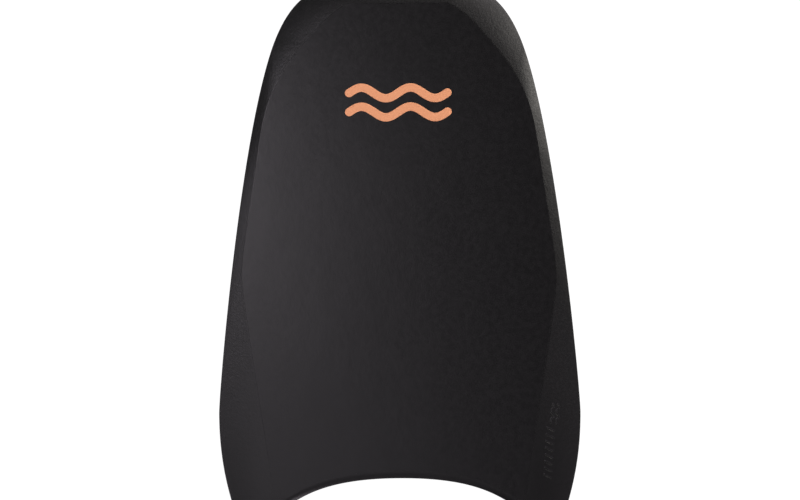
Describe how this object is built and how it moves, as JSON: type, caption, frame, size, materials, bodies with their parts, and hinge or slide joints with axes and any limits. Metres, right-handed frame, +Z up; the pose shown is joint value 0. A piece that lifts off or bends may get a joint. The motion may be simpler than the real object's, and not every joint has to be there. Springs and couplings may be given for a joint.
{
  "type": "kickboard float",
  "caption": "Flat foam swimming board with a rounded nose, flared hips, a body notch in the tail, bevelled faces and smooth decks.",
  "frame": {"origin": "middle of the board's rectangle, on the surface that it lies on", "axes": "+X across the board to the right as seen from the front, +Y to the nose, +Z up out of the front deck"},
  "size_m": [0.285, 0.43, 0.0352],
  "materials": {
    "foam": "grained closed-cell foam, matt charcoal",
    "foam_core": "cut closed-cell foam, matt charcoal",
    "deck_skin": "smooth moulded foam skin, satin charcoal",
    "print": "matt transfer print, soft orange"
  },
  "bodies": {
    "root": {"back_deck_sheet": "deck_skin", "back_layer": "foam", "core_layer": "foam_core", "front_layer": "foam", "front_deck_sheet": "deck_skin", "print_wave_upper": "print", "print_wave_lower": "print"}
  },
  "joints": []
}
